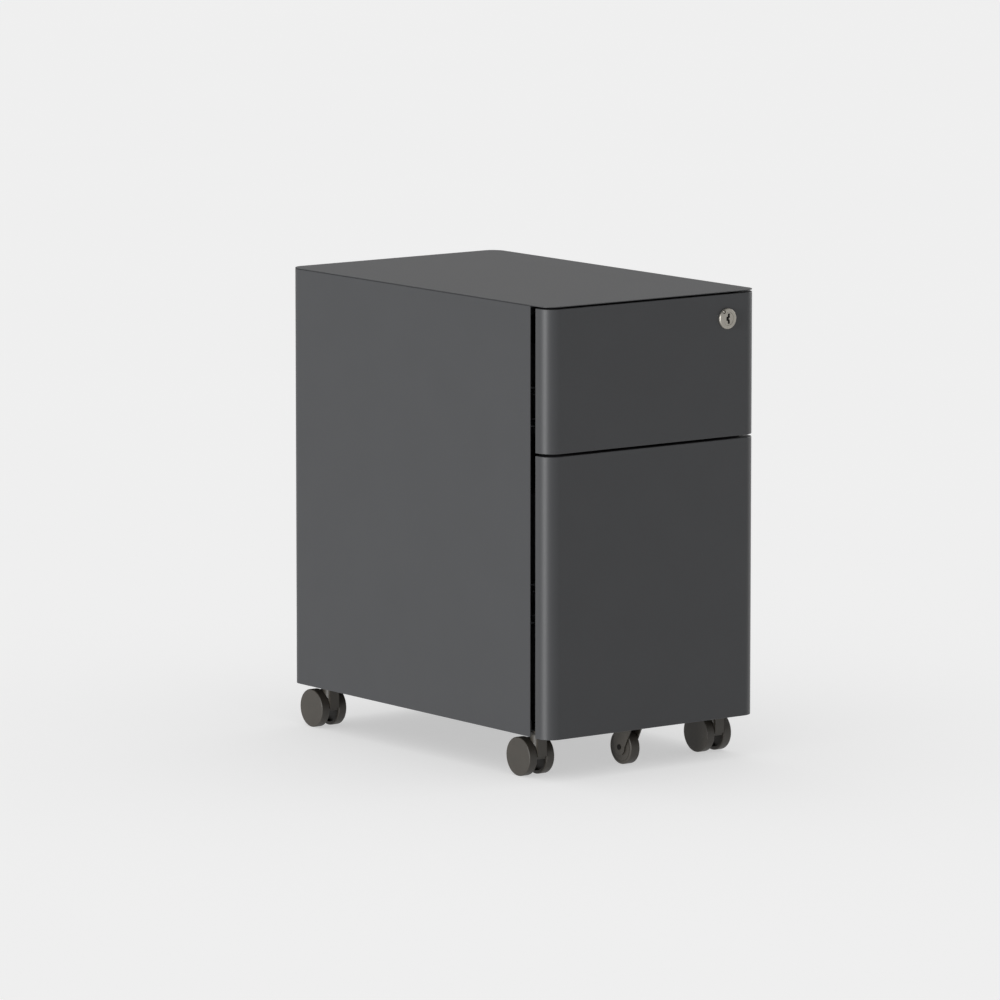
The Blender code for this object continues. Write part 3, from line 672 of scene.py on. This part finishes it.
# %% Copy them to all four corners
for end in ("front", "rear"):
    for side in ("left", "right"):
        caster = f"{end}_{side}_caster"
        axle_low, axle_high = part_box(f"{caster}_axle")
        copied = bpy.data.objects.new(f"{end}_{side}_hood", hood.data.copy())
        bpy.context.scene.collection.objects.link(copied)
        for vertex in copied.data.vertices:
            vertex.co += (axle_low + axle_high) / 2 - axle
        dress(copied, hood_nylon, f"{end}_{side}_swivel", "caster_body", f"{caster}_hood")
        for hand, turned in (("left", 1), ("right", -1)):
            wheel_node = f"{caster}_wheel_{hand}"
            low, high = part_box(wheel_node)
            copied = bpy.data.objects.new(f"{end}_{side}_wheel_{hand}", wheel.data.copy())
            bpy.context.scene.collection.objects.link(copied)
            for vertex in copied.data.vertices:
                from_middle = vertex.co - wheel_middle
                from_middle.x *= turned
                from_middle.y *= turned
                vertex.co = (low + high) / 2 + from_middle
            dress(copied, wheel_nylon, f"{end}_{side}_wheel_{hand}", "caster_wheel", wheel_node)
bpy.data.objects.remove(wheel)
bpy.data.objects.remove(hood)

# %% [markdown]
# ## The caster under the file drawer
# The file drawer carries a single wheel, so that the cabinet doesn't tip when that drawer is pulled out.
# Its fork is a bent strap with rounded feet. The side of the strap is one rectangle with its lower
# corners bevelled until they meet, and the room for the wheel is cut out of the middle.

# %% Model the fork
low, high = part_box("drawer_caster_fork")
wheel_low, wheel_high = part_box("drawer_caster_wheel")
hub = (wheel_low + wheel_high) / 2
FOOT_RADIUS = 9.3 * MM
STRAP = 1.7 * MM
TRAIL = 9 * MM
RIVET_HOLE = 2.3 * MM
fork = block(
    "drawer_fork",
    (low.x, hub.y - FOOT_RADIUS, hub.z - FOOT_RADIUS),
    (high.x, hub.y + FOOT_RADIUS, high.z),
)
edit(fork)
pick(
    "EDGE",
    lambda e: near(middle_of(e).x, hub.x) and near(middle_of(e).z, hub.z - FOOT_RADIUS),
)
bpy.ops.mesh.bevel(offset=FOOT_RADIUS - 0.02 * MM, segments=12)
pick("EDGE", lambda e: near(middle_of(e).z, high.z) and near(middle_of(e).y, hub.y - FOOT_RADIUS))
bpy.ops.transform.translate(value=(0, low.y - (hub.y - FOOT_RADIUS), 0))
pick("EDGE", lambda e: near(middle_of(e).z, high.z) and near(middle_of(e).y, hub.y + FOOT_RADIUS))
bpy.ops.transform.translate(value=(0, high.y - (hub.y + FOOT_RADIUS), 0))
done()
wheel_room = block(
    "wheel_room", (low.x + STRAP, low.y - MM, 0), (high.x - STRAP, high.y + MM, high.z - STRAP)
)
stud_room = rod("stud_room", AXLE_HOLE, 20 * MM, (hub.x, hub.y - TRAIL, high.z), "Z", corners=32)
rivet_room = rod("rivet_room", RIVET_HOLE, 30 * MM, hub, "X", corners=24)
carve(fork, wheel_room, stud_room, rivet_room)
modify(fork, "BEVEL", width=0.4 * MM, segments=2, limit_method="ANGLE", angle_limit=radians(40))
dress(fork, hood_nylon, "drawer_caster", "caster_body", "drawer_caster_fork")

# %% Model its wheel
TREAD = 3.2 * MM
GROOVE = 0.5 * MM
GROOVE_DEPTH = 0.9 * MM
radius, width = (wheel_high.z - wheel_low.z) / 2, wheel_high.x - wheel_low.x
single = rod("drawer_wheel", radius, width, hub, "X", corners=96)
edit(single)
for side in (-1, 1):
    pick("FACE", faces_along(0, side))
    bpy.ops.mesh.inset(thickness=TREAD)
    bpy.ops.mesh.inset(thickness=GROOVE)
    pick(
        "FACE",
        lambda f: f.normal.x * side > 0.99
        and radius - TREAD - GROOVE - NEAR < (middle_of(f) - hub).yz.length < radius - TREAD + NEAR,
    )
    bpy.ops.mesh.extrude_region_move(TRANSFORM_OT_translate={"value": (-side * GROOVE_DEPTH, 0, 0)})
pick(
    "EDGE",
    lambda e: min((v.co - hub).yz.length for v in e.verts) > radius - NEAR
    and near(e.verts[0].co.x, e.verts[1].co.x),
)
bpy.ops.mesh.bevel(offset=1.5 * MM, segments=4)
done()
carve(single, rod("single_bore", RIVET_HOLE, 20 * MM, hub, "X", corners=24))
dress(single, wheel_nylon, "drawer_caster_wheel", "caster_wheel", "drawer_caster_wheel")

# %% [markdown]
# ## Camera, light and floor
# The cabinet is shot from its front left with a long lens, so its uprights stay nearly parallel. One
# soft light stands low at its left, which brightens the left side and draws a bright line down the
# rounded front corner. Two weaker ones, behind and at the right, skim the top and the right edge.
# The floor is lit apart from the cabinet by a wide light from above. It keeps a soft shadow under
# the cabinet, and the low lights throw no long ones.

# %% Set the camera
bpy.ops.object.select_all(action="DESELECT")
bpy.ops.object.camera_add(
    location=(-5.4428, -7.1880, 1.6024), rotation=(radians(81.673), 0, radians(-36.978))
)
camera = bpy.context.active_object
camera.name = "camera"
camera.data.lens = 281.9
camera.data.sensor_width = 36
camera.data.clip_end = 400
bpy.context.scene.camera = camera
print("camera at", camera.location[:], "with a lens of", camera.data.lens, "mm")

# %% Lay the floor
# It is an opal sheet with a little light of its own, so the shadows on it stay pale.
FLOOR_GLOW = 0.505
bpy.ops.mesh.primitive_plane_add(size=160, location=(0, 0, 0))
floor = take("floor")
floor.data.materials.append(
    surface(
        "opal_acrylic_floor",
        "#C6C6C6",
        "#C8C8C8",
        mottle=900 * MM,
        grain=6 * MM,
        depth=0.0,
        roughness=(0.9, 0.95),
        Specular_IOR_Level=0.0,
        Emission_Color=(1, 1, 1, 1),
        Emission_Strength=FLOOR_GLOW,
    )
)

# %% Hang the lights
def linking(name, state):
    """A set that a lamp lights alone (INCLUDE), or leaves out (EXCLUDE): here, the floor."""
    floor_set = bpy.data.collections.new(name)
    floor_set.objects.link(floor)
    floor_set.collection_objects[0].light_linking.link_state = state
    return floor_set


def hang(name, azimuth, rise, strength, spread, reaches):
    """A sun lamp: azimuth goes round from the right to the back, and spread is how soft it is."""
    towards = Vector((cos(azimuth) * cos(rise), sin(azimuth) * cos(rise), sin(rise)))
    bpy.ops.object.light_add(type="SUN", location=towards * 3)
    lamp = bpy.context.active_object
    lamp.name = name
    lamp.data.energy = strength
    lamp.data.angle = spread
    lamp.rotation_euler = towards.to_track_quat("Z", "Y").to_euler()
    lamp.light_linking.receiver_collection = reaches
    print(f"{name}: strength {strength}")


not_floor = linking("lights_all_but_the_floor", "EXCLUDE")
only_floor = linking("lights_the_floor_alone", "INCLUDE")
hang("key_left", radians(186.5), radians(5), 3.3, radians(15), not_floor)
hang("fill_rear", radians(70), radians(10), 0.17, radians(50), not_floor)
hang("rim_right", radians(12), radians(12), 1.6, radians(40), not_floor)
hang("floor_wash", radians(90), radians(88), 0.75, radians(110), only_floor)

# %% Set the surround
world = bpy.data.worlds.new("pale_studio")
bpy.context.scene.world = world
world.use_nodes = True
tree = world.node_tree
tree.nodes.clear()
seen = node(tree, "ShaderNodeBackground", {"Color": (*linear("#F0F0F0"), 1), "Strength": 1.0})
lighting = node(tree, "ShaderNodeBackground", {"Color": (*linear("#F0F0F0"), 1), "Strength": 0.45})
ray = node(tree, "ShaderNodeLightPath")
mixed = node(
    tree,
    "ShaderNodeMixShader",
    {0: ray.outputs["Is Camera Ray"], 1: lighting.outputs[0], 2: seen.outputs[0]},
)
node(tree, "ShaderNodeOutputWorld", {"Surface": mixed.outputs[0]})
bpy.context.scene.view_settings.view_transform = "Standard"
